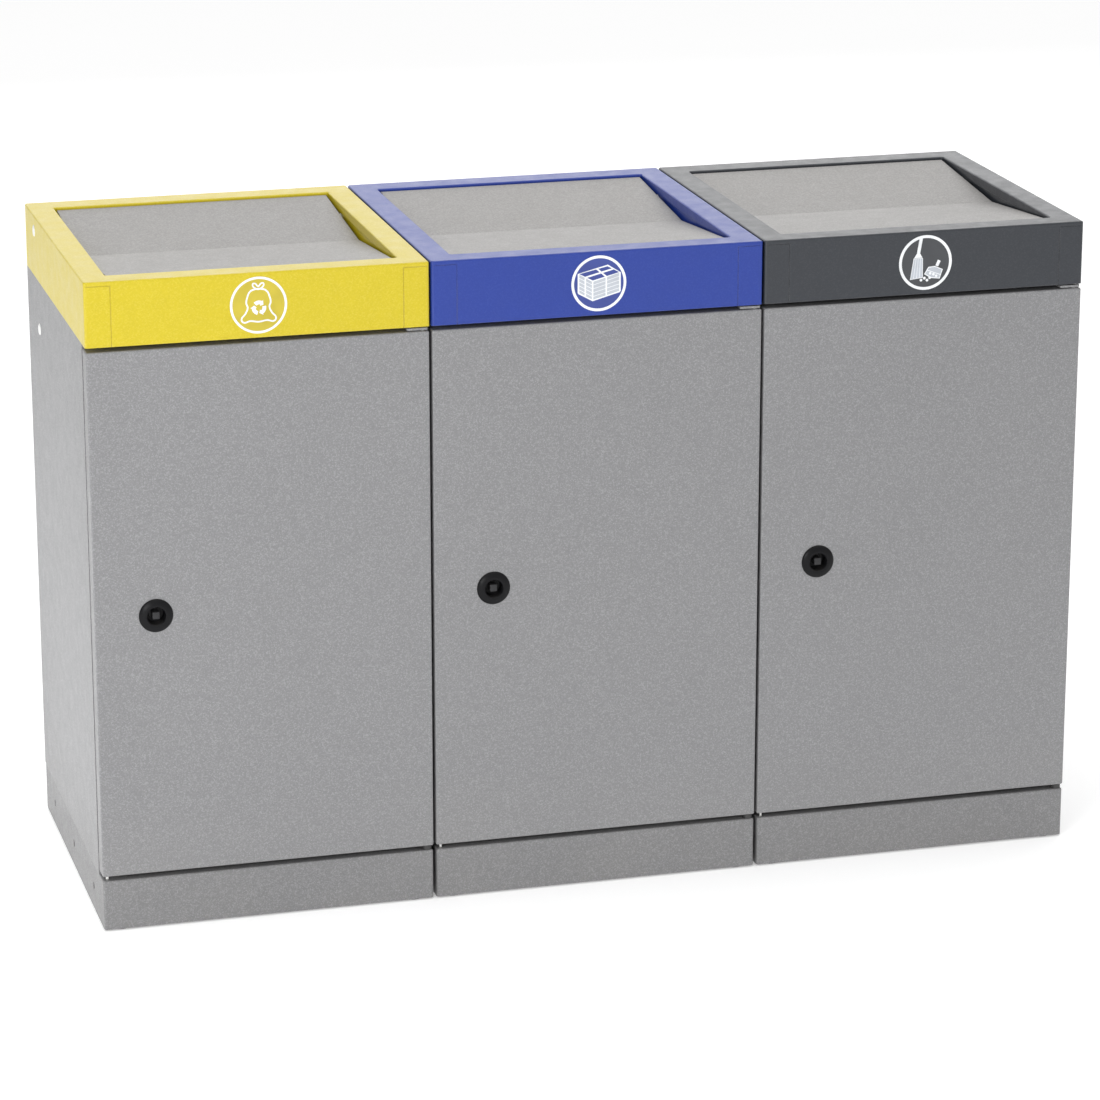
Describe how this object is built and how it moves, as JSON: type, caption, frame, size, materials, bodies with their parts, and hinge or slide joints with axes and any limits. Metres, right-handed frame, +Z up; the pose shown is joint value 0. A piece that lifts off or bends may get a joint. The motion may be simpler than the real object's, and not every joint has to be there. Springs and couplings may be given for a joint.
{
  "type": "recycling bin station",
  "caption": "Free-standing sorted-waste station of joined steel cabinets, with coloured hoods, tipping flaps, lockable doors and lift-out inner bins.",
  "frame": {"origin": "on the floor, under the middle of the station's outer box", "axes": "+X along the row of cabinets (right when facing the doors), doors face -Y, +Z up"},
  "size_m": [1.111, 0.404, 0.72],
  "materials": {
    "body_paint": "fine textured silver-grey powder coat",
    "plinth_paint": "fine textured silver-grey powder coat",
    "yellow_paint": "satin powder coat",
    "blue_paint": "satin powder coat",
    "grey_paint": "satin powder coat",
    "flap_metal": "matt silver",
    "galvanised": "zinc spangle",
    "bright_steel": "bright zinc plate",
    "lock_black": "black satin",
    "lock_steel": "dark burnished",
    "black_nylon": "matt",
    "black_rubber": "matt",
    "pale_nylon": "matt",
    "white_film": "satin film"
  },
  "bodies": {
    "station": {"bin_handle_eyes": "galvanised", "blue_carcass": "body_paint", "blue_hood": "blue_paint", "blue_inner_bin": "galvanised", "blue_plinth": "plinth_paint", "blue_throat": "blue_paint", "door_buffers": "black_rubber", "door_rest_pegs": "bright_steel", "flap_bushes": "pale_nylon", "flap_stops": "black_rubber", "floor_trays": "body_paint", "front_rails": "body_paint", "grey_carcass": "body_paint", "grey_hood": "grey_paint", "grey_inner_bin": "galvanised", "grey_plinth": "plinth_paint", "grey_throat": "grey_paint", "hinge_brackets": "body_paint", "hinge_pins": "bright_steel", "hinge_washers": "black_nylon", "hole_plugs": "pale_nylon", "joining_bolts": "bright_steel", "joining_spacers": "bright_steel", "levelling_feet": "black_nylon", "pictogram_films": "white_film", "yellow_carcass": "body_paint", "yellow_hood": "yellow_paint", "yellow_inner_bin": "galvanised", "yellow_plinth": "plinth_paint", "yellow_throat": "yellow_paint"},
    "blue_bin_handle": {"blue_bin_handle": "bright_steel"},
    "blue_door": {"blue_door": "body_paint", "blue_door_stiffener": "body_paint", "blue_lock_housing": "lock_black", "blue_pivot_plates": "body_paint"},
    "blue_flap": {"blue_flap": "flap_metal", "blue_flap_axle": "bright_steel", "blue_flap_counterweight": "bright_steel"},
    "blue_lock": {"blue_lock_cam": "bright_steel", "blue_lock_spindle": "lock_steel"},
    "grey_bin_handle": {"grey_bin_handle": "bright_steel"},
    "grey_door": {"grey_door": "body_paint", "grey_door_stiffener": "body_paint", "grey_lock_housing": "lock_black", "grey_pivot_plates": "body_paint"},
    "grey_flap": {"grey_flap": "flap_metal", "grey_flap_axle": "bright_steel", "grey_flap_counterweight": "bright_steel"},
    "grey_lock": {"grey_lock_cam": "bright_steel", "grey_lock_spindle": "lock_steel"},
    "yellow_bin_handle": {"yellow_bin_handle": "bright_steel"},
    "yellow_door": {"yellow_door": "body_paint", "yellow_door_stiffener": "body_paint", "yellow_lock_housing": "lock_black", "yellow_pivot_plates": "body_paint"},
    "yellow_flap": {"yellow_flap": "flap_metal", "yellow_flap_axle": "bright_steel", "yellow_flap_counterweight": "bright_steel"},
    "yellow_lock": {"yellow_lock_cam": "bright_steel", "yellow_lock_spindle": "lock_steel"}
  },
  "joints": [
    {"name": "yellow_door_hinge", "type": "hinge", "parent": "station", "child": "yellow_door", "pos_m": [-0.193, -0.192, 0.354], "axis": [0, 0, 1], "range_deg": [0, 110]},
    {"name": "yellow_lock_turn", "type": "hinge", "parent": "yellow_door", "child": "yellow_lock", "pos_m": [-0.4875, -0.188, 0.354], "axis": [0, 1, 0], "range_deg": [0, 90]},
    {"name": "yellow_flap_swing", "type": "hinge", "parent": "station", "child": "yellow_flap", "pos_m": [-0.37, 0.107, 0.7035], "axis": [1, 0, 0], "range_deg": [0, 70]},
    {"name": "yellow_handle_swing", "type": "hinge", "parent": "station", "child": "yellow_bin_handle", "pos_m": [-0.37, -0.132, 0.50002], "axis": [-1, 0, 0], "range_deg": [0, 100]},
    {"name": "blue_door_hinge", "type": "hinge", "parent": "station", "child": "blue_door", "pos_m": [0.177, -0.192, 0.354], "axis": [0, 0, 1], "range_deg": [0, 110]},
    {"name": "blue_lock_turn", "type": "hinge", "parent": "blue_door", "child": "blue_lock", "pos_m": [-0.1175, -0.188, 0.354], "axis": [0, 1, 0], "range_deg": [0, 90]},
    {"name": "blue_flap_swing", "type": "hinge", "parent": "station", "child": "blue_flap", "pos_m": [0, 0.107, 0.7035], "axis": [1, 0, 0], "range_deg": [0, 70]},
    {"name": "blue_handle_swing", "type": "hinge", "parent": "station", "child": "blue_bin_handle", "pos_m": [0, -0.132, 0.50002], "axis": [-1, 0, 0], "range_deg": [0, 100]},
    {"name": "grey_door_hinge", "type": "hinge", "parent": "station", "child": "grey_door", "pos_m": [0.547, -0.192, 0.354], "axis": [0, 0, 1], "range_deg": [0, 110]},
    {"name": "grey_lock_turn", "type": "hinge", "parent": "grey_door", "child": "grey_lock", "pos_m": [0.2525, -0.188, 0.354], "axis": [0, 1, 0], "range_deg": [0, 90]},
    {"name": "grey_flap_swing", "type": "hinge", "parent": "station", "child": "grey_flap", "pos_m": [0.37, 0.107, 0.7035], "axis": [1, 0, 0], "range_deg": [0, 70]},
    {"name": "grey_handle_swing", "type": "hinge", "parent": "station", "child": "grey_bin_handle", "pos_m": [0.37, -0.132, 0.50002], "axis": [-1, 0, 0], "range_deg": [0, 100]}
  ]
}
